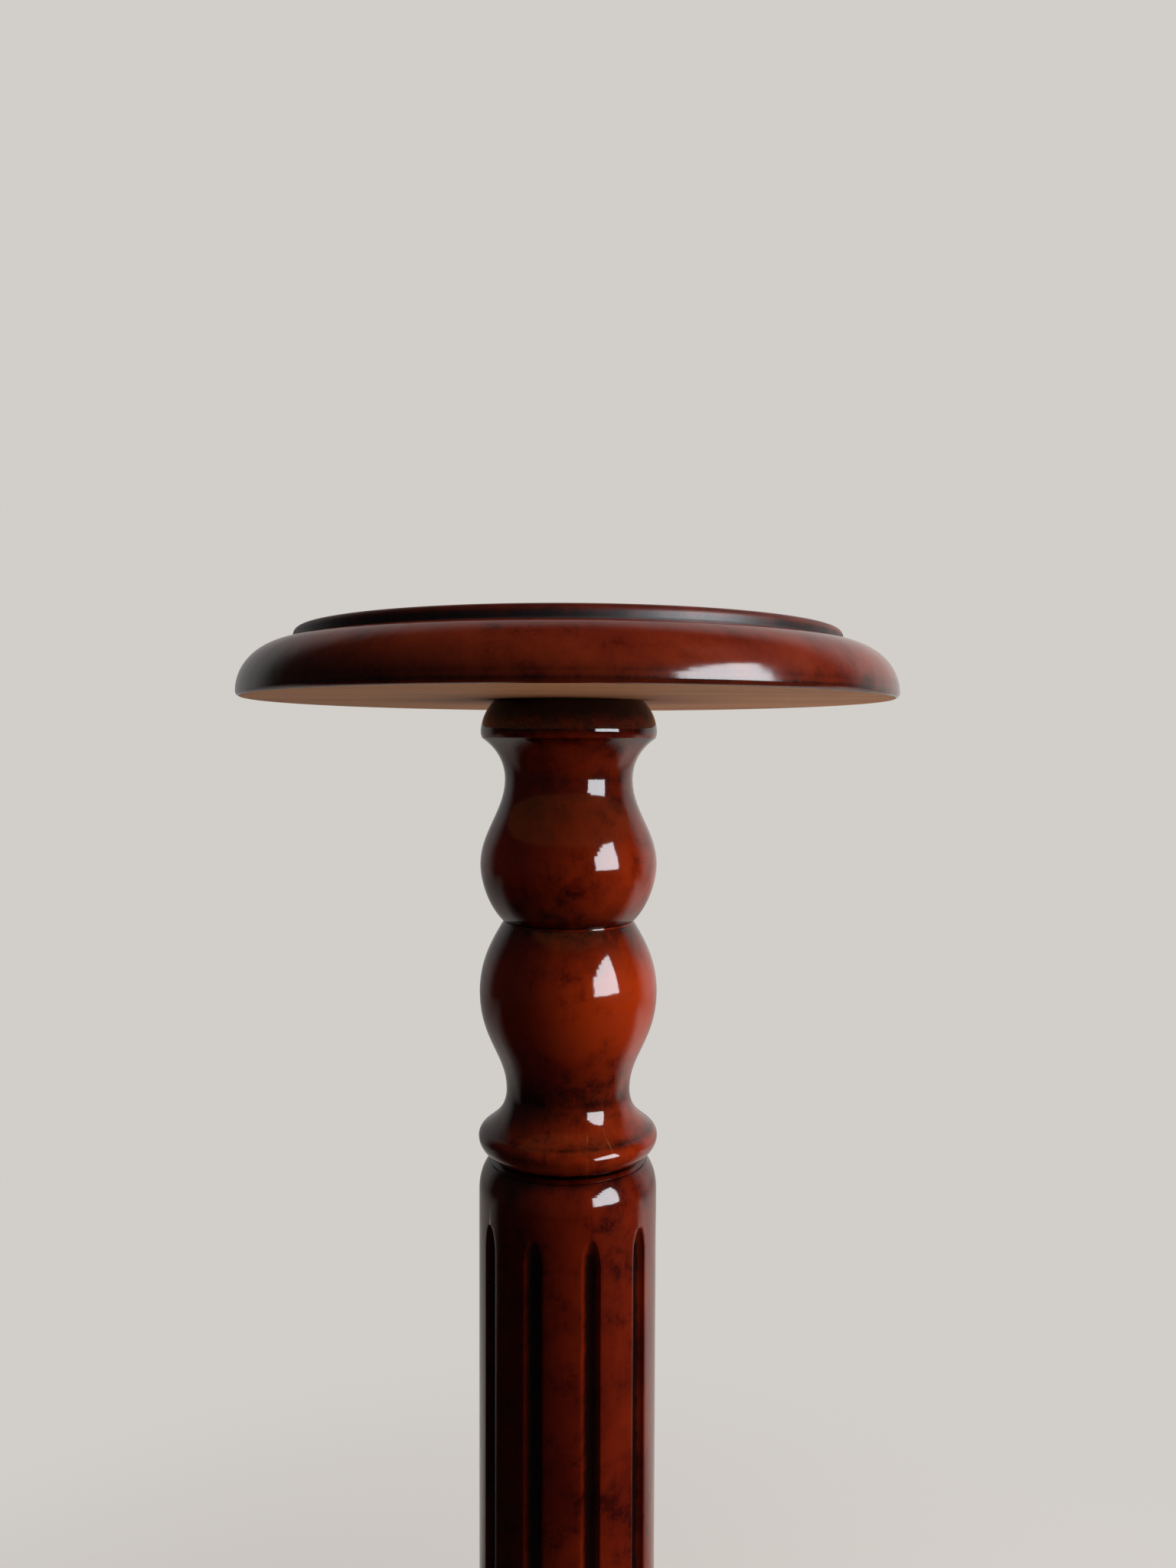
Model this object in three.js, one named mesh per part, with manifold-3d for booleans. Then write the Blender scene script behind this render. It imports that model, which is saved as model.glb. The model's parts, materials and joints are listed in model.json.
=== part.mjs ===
// A round pedestal stand of lacquered mahogany: a moulded top on a turned and fluted column,
// bolted down on a moulded base with four bun feet. Millimetres, +Z up, the origin on the floor
// under the middle of the base. The column is seen from -Y.

import * as THREE from 'three';
import { mergeVertices } from 'three/addons/utils/BufferGeometryUtils.js';
import Module from 'manifold-3d';

const wasm = await Module();
wasm.setup();

// Whole stand
const overallHeight = 915;
const seatGap = 0.3; // between two faces that are drawn together
const boreClearance = 0.3; // between a pin and the wall of its bore
const endClearance = 1.5; // between the end of a pin and the bottom of its bore

// Top and base boards, which share one moulding
const topRadius = 150;
const baseRadius = 165;
const ovoloRadius = 24.5;
const fieldHeight = 5.9; // the raised field stands this much over the ovolo
const fieldEdgeRadius = 3;
const boardArris = 0.8; // softened lower edge of a board

// Fluted shaft, which meets both turnings in a groove
const shaftRadius = 42;
const shoulderSetback = 4.6; // the shoulder draws in this much to its arris
const shoulderDrop = 22;
const grooveInset = 2.9; // and the groove's bottom lies this much inside the arris
const grooveDrop = 2.4; // from the bead's arris to the joint
const grooveRise = 1.2; // from the shoulder's arris to the joint
const fluteCount = 10;
const fluteTurn = 14.5; // degrees, first flute from the -Y side towards +X
const fluteWidth = 8.4;
const fluteDepth = 3.2;
const fluteRunOut = 14; // length over which a flute tapers at each end
const fluteMargin = 2; // plain surface between the shoulder and the end of a flute

// Turned capital, from the board down; the lower turning is its twin, turned over. Both come
// from the shaft's size of blank, so their widest rings lie close inside or outside its radius.
const collarInset = 0.6;
const collarSeatInset = 6; // from the collar's widest ring in to its seat on the board
const collarSwell = 14.2; // drop from the board to the collar's widest ring
const collarArrisInset = 0.7;
const collarArrisDrop = 3.4;
const neckRadius = 30.05;
const coveDrop = 18.9;
const ballInset = 0.5;
const ballRise = 39.5; // drop from the neck to the ball's widest ring
const ballFall = 26.4; // and on to the quirk below it
const quirkMouthRadius = 31.2;
const quirkRadius = 29.8;
const quirkHeight = 1.6;
const vaseInset = 0.2;
const vaseRise = 32.2;
const vaseFall = 46.6;
const waistRadius = 29.1;
const beadProud = 0.2; // the bead's nose stands this much over the shaft
const beadShoulderInset = 3; // from its nose in to the arris above
const beadShoulderDrop = 17;
const beadNoseDrop = 4.7;
const beadArrisInset = 3; // and to the arris below
const beadArrisDrop = 6.4;

// Dowels glued into both ends of the shaft
const dowelRadius = 12.5;
const dowelLength = 80;
const dowelChamfer = 1.5;

// Hanger bolt and threaded insert that hold the top
const topStudRadius = 4;
const topStudInWood = 45;
const topInsertRadius = 7;
const topInsertLength = 15;

// Hexagon bolt, washer and threaded insert that hold the base
const baseBoltRadius = 5;
const boltHeadFlats = 17;
const boltHeadHeight = 6.4;
const washerRadius = 14;
const washerThickness = 2;
const counterboreMargin = 2; // round the washer
const counterboreDepth = 11;
const columnInsertRadius = 7;
const columnInsertLength = 28;

// Bun feet with their hanger bolts, inserts and felt pads
const footCount = 4;
const footInset = 43; // from the rim of the base board to the middle of a foot
const footRadius = 26;
const footSoleRadius = 17;
const footHeight = 24;
const footRingRadius = 19.5;
const footRingHeight = 4;
const footQuirk = 1; // the ball runs in this much under the ring
const footStudRadius = 4;
const footStudInFoot = 15;
const footInsertRadius = 6.5;
const footInsertLength = 14;
const padInset = 2; // from the edge of the sole
const padThickness = 3;
const padArris = 0.5;
const insertFlange = 1.5; // rim of a threaded insert, this wide and this thick
const rodChamfer = 0.8;
const screwPoint = 6; // length of a hanger bolt's wood point
const screwTipRadius = 1.2;

// Levels, from the floor up
const boardThickness = ovoloRadius + fieldHeight;
const footBottom = padThickness + seatGap;
const footTop = footBottom + footHeight;
const baseBottom = footTop + seatGap;
const baseTop = baseBottom + boardThickness;
const topUnderside = overallHeight - boardThickness;
const shoulderRadius = shaftRadius - shoulderSetback;
const grooveRadius = shoulderRadius - grooveInset;
const insertSink = insertFlange + seatGap; // recess for an insert's flange

// Facets round a piece
const boardFacets = 48;
const turningFacets = 32;
const shaftFacets = 60;
const footFacets = 20;
const smallFacets = 12;
const curveSteps = 4;
const fluteFacets = 14; // round a flute's cutter
const fluteEndSteps = 2;

const lacquer = { color: 0x571a0c, roughness: 0.16, metalness: 0 };
const darkLacquer = { color: 0x471409, roughness: 0.16, metalness: 0 };
const palewood = { color: 0xb98a5c, roughness: 0.7, metalness: 0 };
const zinc = { color: 0xb9bcc0, roughness: 0.35, metalness: 1 };
const brass = { color: 0xc9a45a, roughness: 0.35, metalness: 1 };
const felt = { color: 0x4a2e22, roughness: 0.95, metalness: 0 };

// A closed geometry with its shared corners merged, ready to be joined or cut.
function toSolid(geometry) {
  const bare = geometry.clone();
  bare.deleteAttribute('normal');
  bare.deleteAttribute('uv');
  const merged = mergeVertices(bare, 1e-4);
  const vertProperties = new Float32Array(merged.attributes.position.array);
  const triVerts = new Uint32Array(merged.index.array);
  return new wasm.Manifold(new wasm.Mesh({ numProp: 3, vertProperties, triVerts }));
}

function toGeometry(solid) {
  const { vertProperties, triVerts } = solid.getMesh();
  const geometry = new THREE.BufferGeometry();
  geometry.setAttribute('position', new THREE.BufferAttribute(vertProperties, 3));
  geometry.setIndex(new THREE.BufferAttribute(triVerts, 1));
  geometry.computeVertexNormals();
  return geometry;
}

// Turns an outline of (radius, height) points, listed from the bottom up, about the Z axis.
function turn(outline, facets) {
  return new THREE.LatheGeometry(outline, facets).rotateX(Math.PI / 2);
}

function outlineOf(pairs) {
  return pairs.map(([radius, height]) => new THREE.Vector2(radius, height));
}

// Continues a turned outline down to a new radius. The curve's two handles are given as
// [across, along] shares of the step, so an across of 0 leaves or arrives upright.
function ease(path, radius, drop, leave, arrive) {
  const { x, y } = path.currentPoint;
  const across = radius - x;
  path.bezierCurveTo(
    x + leave[0] * across,
    y + leave[1] * drop,
    radius - arrive[0] * across,
    y + (1 - arrive[1]) * drop,
    radius,
    y + drop,
  );
}

function lineDown(path, radius, drop) {
  path.lineTo(radius, path.currentPoint.y + drop);
}

// The capital's outline as (radius, drop) points, from its seat on the board to the shaft.
function turningOutline() {
  const collarRadius = shaftRadius - collarInset;
  const path = new THREE.Path().moveTo(collarRadius - collarSeatInset, 0);
  ease(path, collarRadius, collarSwell, [0.64, 0.26], [0, 0.38]);
  ease(path, collarRadius - collarArrisInset, collarArrisDrop, [0, 0.5], [0.5, 0.3]);
  ease(path, neckRadius, coveDrop, [0.35, 0.13], [0, 0.55]);
  ease(path, shaftRadius - ballInset, ballRise, [0, 0.37], [0, 0.38]);
  ease(path, quirkMouthRadius, ballFall, [0, 0.31], [0.67, 0.27]);
  lineDown(path, quirkRadius, quirkHeight / 2);
  lineDown(path, quirkMouthRadius, quirkHeight / 2);
  ease(path, shaftRadius - vaseInset, vaseRise, [0.36, 0.21], [0, 0.48]);
  ease(path, waistRadius, vaseFall, [0, 0.48], [0, 0.36]);
  const beadRadius = shaftRadius + beadProud;
  ease(path, beadRadius - beadShoulderInset, beadShoulderDrop, [0, 0.6], [0.38, 0.19]);
  ease(path, beadRadius, beadNoseDrop, [0.5, 0.2], [0, 0.5]);
  ease(path, beadRadius - beadArrisInset, beadArrisDrop, [0, 0.45], [0.45, 0.25]);
  lineDown(path, grooveRadius, grooveDrop);
  return path.getPoints(curveSteps);
}

const capital = turningOutline();
const turningHeight = capital[capital.length - 1].y;
const lowerTurningBottom = baseTop + seatGap;
const shaftBottom = lowerTurningBottom + turningHeight + seatGap;
const upperTurningTop = topUnderside - seatGap;
const shaftTop = upperTurningTop - turningHeight - seatGap;
const dowelBoreRadius = dowelRadius + boreClearance;
const dowelBoreDepth = (dowelLength - seatGap) / 2 + endClearance;

// A board's outline from its underside up: softened arris, ovolo, step and raised field.
function boardOutline(radius, underside) {
  const fieldRadius = radius - ovoloRadius;
  const path = new THREE.Path().moveTo(radius - boardArris, underside);
  path.lineTo(radius, underside + boardArris);
  path.absellipse(
    fieldRadius, underside + boardArris,
    ovoloRadius, ovoloRadius - boardArris,
    0, Math.PI / 2, false,
  );
  const edgeLevel = underside + boardThickness - fieldEdgeRadius;
  path.lineTo(fieldRadius, edgeLevel);
  path.absarc(fieldRadius - fieldEdgeRadius, edgeLevel, fieldEdgeRadius, 0, Math.PI / 2, false);
  return path.getPoints(curveSteps - 1);
}

function topBoard() {
  const boreRadius = topInsertRadius + boreClearance;
  const boreTop = topUnderside + topInsertLength + endClearance;
  const sinkRadius = boreRadius + insertFlange;
  const sinkTop = topUnderside + insertSink;
  const bore = [[0, boreTop], [boreRadius, boreTop], [boreRadius, sinkTop], [sinkRadius, sinkTop],
    [sinkRadius, topUnderside]];
  const outline = [...outlineOf(bore), ...boardOutline(topRadius, topUnderside)];
  outline.push(new THREE.Vector2(0, overallHeight));
  return turn(outline, boardFacets);
}

function baseBoard() {
  const ceiling = baseBottom + counterboreDepth;
  const holeRadius = baseBoltRadius + boreClearance;
  const counterboreRadius = washerRadius + counterboreMargin;
  const outline = [
    ...outlineOf([[holeRadius, ceiling], [counterboreRadius, ceiling], [counterboreRadius, baseBottom]]),
    ...boardOutline(baseRadius, baseBottom),
    ...outlineOf([[holeRadius, baseTop], [holeRadius, ceiling]]),
  ];
  const boreRadius = footInsertRadius + boreClearance;
  const boreDepth = footInsertLength + endClearance;
  let board = toSolid(turn(outline, boardFacets));
  for (const place of footPlaces()) {
    board = board.subtract(toSolid(drill(boreRadius, boreDepth, place)));
    board = board.subtract(toSolid(drill(boreRadius + insertFlange, insertSink, place)));
  }
  return toGeometry(board);
}

// What a drill of this radius takes out of the base board's underside.
function drill(radius, depth, place) {
  const length = 2 * depth;
  const tool = new THREE.CylinderGeometry(radius, radius, length, smallFacets).rotateX(Math.PI / 2);
  return tool.translate(place.x, place.y, baseBottom);
}

// The middle of each foot, the first one to the front left.
function footPlaces() {
  const places = [];
  for (let i = 0; i < footCount; i += 1) {
    const angle = (2 * Math.PI * (i + 0.5)) / footCount - Math.PI;
    const direction = new THREE.Vector2(Math.cos(angle), Math.sin(angle));
    places.push(direction.multiplyScalar(baseRadius - footInset));
  }
  return places;
}

// The capital hangs under the top board, with a stud bore above and a dowel bore below.
function upperTurning() {
  const bottom = upperTurningTop - turningHeight;
  const dowelEnd = bottom + dowelBoreDepth;
  const studRadius = topStudRadius + boreClearance;
  const studEnd = upperTurningTop - topStudInWood - endClearance;
  const skin = capital.map(({ x, y }) => new THREE.Vector2(x, upperTurningTop - y)).reverse();
  const outline = [
    ...outlineOf([[0, dowelEnd], [dowelBoreRadius, dowelEnd], [dowelBoreRadius, bottom]]),
    ...skin,
    ...outlineOf([[studRadius, upperTurningTop], [studRadius, studEnd], [0, studEnd]]),
  ];
  return turn(outline, turningFacets);
}

// The same turning the other way up, standing on the base board.
function lowerTurning() {
  const top = lowerTurningBottom + turningHeight;
  const dowelEnd = top - dowelBoreDepth;
  const insertRadius = columnInsertRadius + boreClearance;
  const insertEnd = lowerTurningBottom + columnInsertLength + endClearance;
  const sinkRadius = insertRadius + insertFlange;
  const sinkTop = lowerTurningBottom + insertSink;
  const skin = capital.map(({ x, y }) => new THREE.Vector2(x, lowerTurningBottom + y));
  const outline = [
    ...outlineOf([[0, insertEnd], [insertRadius, insertEnd], [insertRadius, sinkTop],
      [sinkRadius, sinkTop], [sinkRadius, lowerTurningBottom]]),
    ...skin,
    ...outlineOf([[dowelBoreRadius, top], [dowelBoreRadius, dowelEnd], [0, dowelEnd]]),
  ];
  return turn(outline, turningFacets);
}

// Half of the shaft's outline, from its end face to its full radius.
function shoulderOutline() {
  const path = new THREE.Path().moveTo(grooveRadius, 0);
  lineDown(path, shoulderRadius, grooveRise);
  ease(path, shaftRadius, shoulderDrop, [0.3, 0.14], [0, 0.6]);
  return path.getPoints(curveSteps);
}

function flutedShaft() {
  const shoulder = shoulderOutline();
  const outline = [
    ...outlineOf([[0, shaftBottom + dowelBoreDepth], [dowelBoreRadius, shaftBottom + dowelBoreDepth],
      [dowelBoreRadius, shaftBottom]]),
    ...shoulder.map(({ x, y }) => new THREE.Vector2(x, shaftBottom + y)),
    ...shoulder.map(({ x, y }) => new THREE.Vector2(x, shaftTop - y)).reverse(),
    ...outlineOf([[dowelBoreRadius, shaftTop], [dowelBoreRadius, shaftTop - dowelBoreDepth],
      [0, shaftTop - dowelBoreDepth]]),
  ];
  let shaft = toSolid(turn(outline, shaftFacets));
  for (let i = 0; i < fluteCount; i += 1) {
    const angle = THREE.MathUtils.degToRad(fluteTurn - 90) + (2 * Math.PI * i) / fluteCount;
    shaft = shaft.subtract(toSolid(fluteCutter(angle)));
  }
  return toGeometry(shaft);
}

// A cutter whose arc gives the flute its width and depth at the shaft's surface. Its ends are
// half ellipses, long enough for the flute to taper out over its run-out.
function fluteCutter(angle) {
  const halfWidth = fluteWidth / 2;
  const surfaceDrop = shaftRadius - Math.sqrt(shaftRadius ** 2 - halfWidth ** 2);
  const chordDepth = fluteDepth - surfaceDrop;
  const cutterRadius = (halfWidth ** 2 + chordDepth ** 2) / (2 * chordDepth);
  const axisRadius = shaftRadius - fluteDepth + cutterRadius;
  const plainEnd = grooveRise + shoulderDrop + fluteMargin;
  const fluteLength = shaftTop - shaftBottom - 2 * plainEnd;
  const straightEnd = fluteLength / 2 - fluteRunOut;
  const tipRadius = cutterRadius - fluteDepth;
  const endLength = (fluteRunOut * cutterRadius) / Math.sqrt(cutterRadius ** 2 - tipRadius ** 2);
  const path = new THREE.Path().moveTo(0, -straightEnd - endLength);
  path.absellipse(0, -straightEnd, cutterRadius, endLength, -Math.PI / 2, 0, false);
  path.absellipse(0, straightEnd, cutterRadius, endLength, 0, Math.PI / 2, false);
  const cutter = turn(path.getPoints(fluteEndSteps), fluteFacets);
  const middle = (shaftBottom + shaftTop) / 2;
  return cutter.translate(axisRadius * Math.cos(angle), axisRadius * Math.sin(angle), middle);
}

function dowel(jointLevel) {
  const bottom = jointLevel - dowelLength / 2;
  const top = jointLevel + dowelLength / 2;
  const outline = outlineOf([
    [0, bottom], [dowelRadius - dowelChamfer, bottom], [dowelRadius, bottom + dowelChamfer],
    [dowelRadius, top - dowelChamfer], [dowelRadius - dowelChamfer, top], [0, top],
  ]);
  return turn(outline, 2 * smallFacets);
}

// A hanger bolt: a machine thread with a chamfered end, and a pointed wood thread.
// Its shoulder lies at level 0; machine is the length above it and wood the length below.
function hangerBolt(radius, machine, wood) {
  return turn(outlineOf([
    [0, -wood], [screwTipRadius, -wood], [radius, screwPoint - wood],
    [radius, machine - rodChamfer], [radius - rodChamfer, machine], [0, machine],
  ]), smallFacets);
}

// A threaded insert with its flange at level 0 and its body above, bored right through.
function threadedInsert(radius, length, boltRadius) {
  const hole = boltRadius + boreClearance;
  return turn(outlineOf([
    [hole, 0], [radius + insertFlange, 0], [radius + insertFlange, insertFlange],
    [radius, insertFlange], [radius, length - rodChamfer], [radius - rodChamfer, length],
    [hole, length], [hole, 0],
  ]), smallFacets);
}

// A hexagon bolt, its washer face at level 0 and its shank above.
function hexagonBolt(radius, length) {
  const cornerRadius = boltHeadFlats / Math.sqrt(3);
  const head = new THREE.CylinderGeometry(cornerRadius, cornerRadius, boltHeadHeight, 6);
  head.rotateX(Math.PI / 2).translate(0, 0, -boltHeadHeight / 2);
  const dome = turn(outlineOf([
    [0, -boltHeadHeight], [boltHeadFlats / 2, -boltHeadHeight],
    [cornerRadius + rodChamfer, rodChamfer - boltHeadHeight], [cornerRadius + rodChamfer, 0], [0, 0],
  ]), 2 * smallFacets);
  const shank = turn(outlineOf([
    [0, -boltHeadHeight / 2], [radius, -boltHeadHeight / 2], [radius, length - rodChamfer],
    [radius - rodChamfer, length], [0, length],
  ]), smallFacets);
  return toGeometry(toSolid(head).intersect(toSolid(dome)).add(toSolid(shank)));
}

function washer() {
  const hole = baseBoltRadius + boreClearance;
  const outline = [[hole, 0], [washerRadius, 0], [washerRadius, washerThickness],
    [hole, washerThickness], [hole, 0]];
  return turn(outlineOf(outline), 2 * smallFacets);
}

// A bun foot standing on level 0: a flattened ball under a ring, bored for its stud.
function bunFoot() {
  const ringBottom = footHeight - footRingHeight;
  const path = new THREE.Path().moveTo(footSoleRadius, 0);
  ease(path, footRadius, ringBottom / 2, [0.6, 0.05], [0, 0.5]);
  ease(path, footRingRadius - footQuirk, ringBottom / 2, [0, 0.55], [0.75, 0.1]);
  path.lineTo(footRingRadius, ringBottom);
  path.lineTo(footRingRadius, footHeight);
  const bore = footStudRadius + boreClearance;
  const boreEnd = footHeight - footStudInFoot - endClearance;
  const outline = [
    new THREE.Vector2(0, 0),
    ...path.getPoints(curveSteps),
    ...outlineOf([[bore, footHeight], [bore, boreEnd], [0, boreEnd]]),
  ];
  return turn(outline, footFacets);
}

function feltPad() {
  const radius = footSoleRadius - padInset;
  return turn(outlineOf([
    [0, 0], [radius - padArris, 0], [radius, padArris], [radius, padThickness], [0, padThickness],
  ]), footFacets);
}

const stand = new THREE.Group();

function addPiece(name, geometry, finish, x = 0, y = 0, z = 0) {
  const piece = new THREE.Mesh(geometry, new THREE.MeshStandardMaterial(finish));
  piece.name = name;
  piece.position.set(x, y, z);
  stand.add(piece);
}

const topInsert = threadedInsert(topInsertRadius, topInsertLength, topStudRadius);
const topStud = hangerBolt(topStudRadius, topInsertLength - endClearance, topStudInWood);
addPiece('top_board', topBoard(), lacquer);
addPiece('top_insert', topInsert, brass, 0, 0, topUnderside);
addPiece('top_stud', topStud, zinc, 0, 0, upperTurningTop);

addPiece('upper_turning', upperTurning(), lacquer);
addPiece('upper_dowel', dowel(shaftTop + seatGap / 2), palewood);
addPiece('fluted_shaft', flutedShaft(), lacquer);
addPiece('lower_dowel', dowel(shaftBottom - seatGap / 2), palewood);
addPiece('lower_turning', lowerTurning(), lacquer);

const washerLevel = baseBottom + counterboreDepth - seatGap - washerThickness;
const boltLevel = washerLevel - seatGap;
const boltLength = lowerTurningBottom + columnInsertLength - endClearance - boltLevel;
const columnInsert = threadedInsert(columnInsertRadius, columnInsertLength, baseBoltRadius);
addPiece('column_insert', columnInsert, brass, 0, 0, lowerTurningBottom);
addPiece('base_board', baseBoard(), darkLacquer);
addPiece('base_washer', washer(), zinc, 0, 0, washerLevel);
addPiece('base_bolt', hexagonBolt(baseBoltRadius, boltLength), zinc, 0, 0, boltLevel);

footPlaces().forEach(({ x, y }, index) => {
  const number = index + 1;
  const insert = threadedInsert(footInsertRadius, footInsertLength, footStudRadius);
  const stud = hangerBolt(footStudRadius, footInsertLength - endClearance, footStudInFoot);
  addPiece(`bun_foot_${number}`, bunFoot(), darkLacquer, x, y, footBottom);
  addPiece(`foot_stud_${number}`, stud, zinc, x, y, footTop);
  addPiece(`foot_insert_${number}`, insert, brass, x, y, baseBottom);
  addPiece(`felt_pad_${number}`, feltPad(), felt, x, y);
});

export default stand;
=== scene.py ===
import json
import math

import bpy
from mathutils import Matrix, Vector


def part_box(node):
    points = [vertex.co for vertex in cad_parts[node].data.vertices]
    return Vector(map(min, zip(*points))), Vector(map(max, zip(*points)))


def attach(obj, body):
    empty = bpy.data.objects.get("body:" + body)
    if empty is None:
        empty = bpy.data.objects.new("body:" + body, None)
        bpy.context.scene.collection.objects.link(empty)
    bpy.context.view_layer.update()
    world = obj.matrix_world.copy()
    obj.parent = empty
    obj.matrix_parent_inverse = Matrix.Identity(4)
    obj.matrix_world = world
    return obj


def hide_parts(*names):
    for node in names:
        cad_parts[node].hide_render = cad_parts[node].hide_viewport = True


# The stand as the camera sees it: metres, +Z up, the column seen from -Y.
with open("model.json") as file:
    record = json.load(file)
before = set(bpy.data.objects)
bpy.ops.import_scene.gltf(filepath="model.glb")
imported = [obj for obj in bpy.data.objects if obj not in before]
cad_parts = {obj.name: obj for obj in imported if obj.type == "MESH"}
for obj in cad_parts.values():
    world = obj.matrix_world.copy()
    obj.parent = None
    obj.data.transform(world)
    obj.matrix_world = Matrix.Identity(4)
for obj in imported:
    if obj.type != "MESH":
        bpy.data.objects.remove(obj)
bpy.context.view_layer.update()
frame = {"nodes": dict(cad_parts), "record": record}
print("stage: frame loaded")


class Wire:  # an output socket that takes Python arithmetic
    def __init__(self, graph, socket):
        self.graph = graph
        self.socket = socket

    def output(self, name):
        return Wire(self.graph, self.graph.find(self.socket.node.outputs, name))

    def math(self, operation, *others):
        return self.graph.math(operation, self, *others)

    def __add__(self, other):
        return self.math("ADD", other)

    def __sub__(self, other):
        return self.math("SUBTRACT", other)

    def __mul__(self, other):
        return self.math("MULTIPLY", other)

    def __truediv__(self, other):
        return self.math("DIVIDE", other)

    def __pow__(self, other):
        return self.math("POWER", other)

    def __radd__(self, other):
        return self.graph.math("ADD", other, self)

    def __rsub__(self, other):
        return self.graph.math("SUBTRACT", other, self)

    def __rmul__(self, other):
        return self.graph.math("MULTIPLY", other, self)

    def __rtruediv__(self, other):
        return self.graph.math("DIVIDE", other, self)

    def __lt__(self, other):
        return self.math("LESS_THAN", other)

    def __gt__(self, other):
        return self.math("GREATER_THAN", other)

    def least(self, other):
        return self.math("MINIMUM", other)

    def most(self, other):
        return self.math("MAXIMUM", other)

    def ease(self, low, high):  # 0 below low, 1 above high and smooth between them
        settings = {"interpolation_type": "SMOOTHSTEP"}
        values = {"Value": self, "From Min": low, "From Max": high}
        return self.graph.node("ShaderNodeMapRange", settings, values)

    def split(self):  # the x, y and z of a vector
        parts = self.graph.node("ShaderNodeSeparateXYZ", {}, {"Vector": self})
        return [parts.output(axis) for axis in "XYZ"]

    def stretch(self, x, y, z):
        values = {0: self, 1: (x, y, z)}
        return self.graph.node("ShaderNodeVectorMath", {"operation": "MULTIPLY"}, values)

    def shift(self, x, y, z):
        values = {0: self, 1: (x, y, z)}
        return self.graph.node("ShaderNodeVectorMath", {"operation": "ADD"}, values)


class Graph:  # adds the nodes of one material, world or geometry tree
    def __init__(self, tree):
        self.tree = tree

    def find(self, sockets, name):
        if isinstance(name, int):
            return sockets[name]
        return next(s for s in sockets if s.name == name and s.enabled)

    def feed(self, socket, value):
        if isinstance(value, Wire):
            self.tree.links.new(value.socket, socket)
        else:
            socket.default_value = value

    def node(self, kind, settings=(), values=()):
        made = self.tree.nodes.new(kind)
        for name, value in dict(settings).items():
            setattr(made, name, value)
        for name, value in dict(values).items():
            self.feed(self.find(made.inputs, name), value)
        shown = [socket for socket in made.outputs if socket.enabled]
        return Wire(self, shown[0]) if shown else None

    def math(self, operation, *terms):
        return self.node("ShaderNodeMath", {"operation": operation}, dict(enumerate(terms)))

    def blend(self, share, first, second):  # a colour between two colours
        values = {"Factor": share, "A": first, "B": second}
        return self.node("ShaderNodeMix", {"data_type": "RGBA"}, values)

    def noise(self, place, size, detail=2.0, roughness=0.5, distortion=0.0):
        values = {
            "Vector": place,
            "Scale": 1 / size,
            "Detail": detail,
            "Roughness": roughness,
            "Distortion": distortion,
        }
        return self.node("ShaderNodeTexNoise", {}, values)

    def input(self, name, kind, value=None):
        made = self.tree.interface.new_socket(name=name, in_out="INPUT", socket_type=kind)
        if value is not None:
            made.default_value = value
        return made.identifier


def colour(red, green, blue):  # a screen colour of 0 to 255, as the linear one that nodes take
    linear = [(value / 255 + 0.055) ** 2.4 / 1.055**2.4 for value in (red, green, blue)]
    return (*linear, 1.0)


# ---- camera

cameraView = {
    "place": (0.0, -0.537, 0.8629),
    "pitch": 0.0324,  # radians down
    "yaw": 0.0168,  # radians towards +X
    "roll": -0.003,
    "lens": 26.19,  # millimetres, with a sensor 36 mm on its long side
    "sensor": 36.0,
}


def addCamera():
    pitch, yaw, roll = (cameraView[name] for name in ("pitch", "yaw", "roll"))
    ahead = Vector((math.sin(yaw) * math.cos(pitch), math.cos(yaw) * math.cos(pitch), -math.sin(pitch)))
    level = Vector((math.cos(yaw), -math.sin(yaw), 0))
    down = ahead.cross(level)
    right = math.cos(roll) * level + math.sin(roll) * down
    up = math.sin(roll) * level - math.cos(roll) * down
    data = bpy.data.cameras.new("camera")
    data.lens = cameraView["lens"]
    data.sensor_width = cameraView["sensor"]
    camera = bpy.data.objects.new("camera", data)
    turned = Matrix((right, up, -ahead)).transposed().to_4x4()
    camera.matrix_world = Matrix.Translation(cameraView["place"]) @ turned
    bpy.context.scene.collection.objects.link(camera)
    bpy.context.scene.camera = camera


addCamera()
print("stage: camera placed")

# ---- materials

mahogany = {
    "clear": colour(160, 47, 6),  # thin toner over the wood
    "red": colour(132, 27, 5),
    "brown": colour(68, 8, 3),  # the dark clouds
    "dark": colour(18, 2, 1),  # the darkest tone: a little all over, and painted shade in the hollows
    "toned": 0.05,  # toner all over, from 0 to 1
    "darkShare": 0.05,  # the same of the darkest kind
    "roughness": 0.05,
    "move": (0.0, 0.0, 0.0),  # shifts the clouds over the piece
    "cloudSize": 0.026,
    "mottleSize": 0.008,
    "speckSize": 0.0016,
    "grainSize": 0.0011,
    "grainStretch": 0.05,
    "waveSize": 0.009,
    "peelSize": 0.0012,  # of the fine texture that spraying leaves
}
topFinish = {
    "clear": colour(136, 48, 21),
    "red": colour(112, 34, 17),
    "toned": 0.1,
    "darkShare": 0.0,
    "roughness": 0.12,
}
capitalFinish = {"move": (0.013, 0.008, 0.021)}
shaftFinish = {
    "clear": colour(150, 42, 7),
    "red": colour(118, 25, 6),
    "toned": 0.2,
    "darkShare": 0.3,
    "roughness": 0.055,
    "move": (0.4, 0.02, 0.3),
}
baseFinish = {"toned": 0.15, "darkShare": 0.1, "roughness": 0.12, "move": (0.7, 0.5, 0.1)}


def newMaterial(name):
    material = bpy.data.materials.new(name)
    material.use_nodes = True
    material.node_tree.nodes.clear()
    return material, Graph(material.node_tree)


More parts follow.
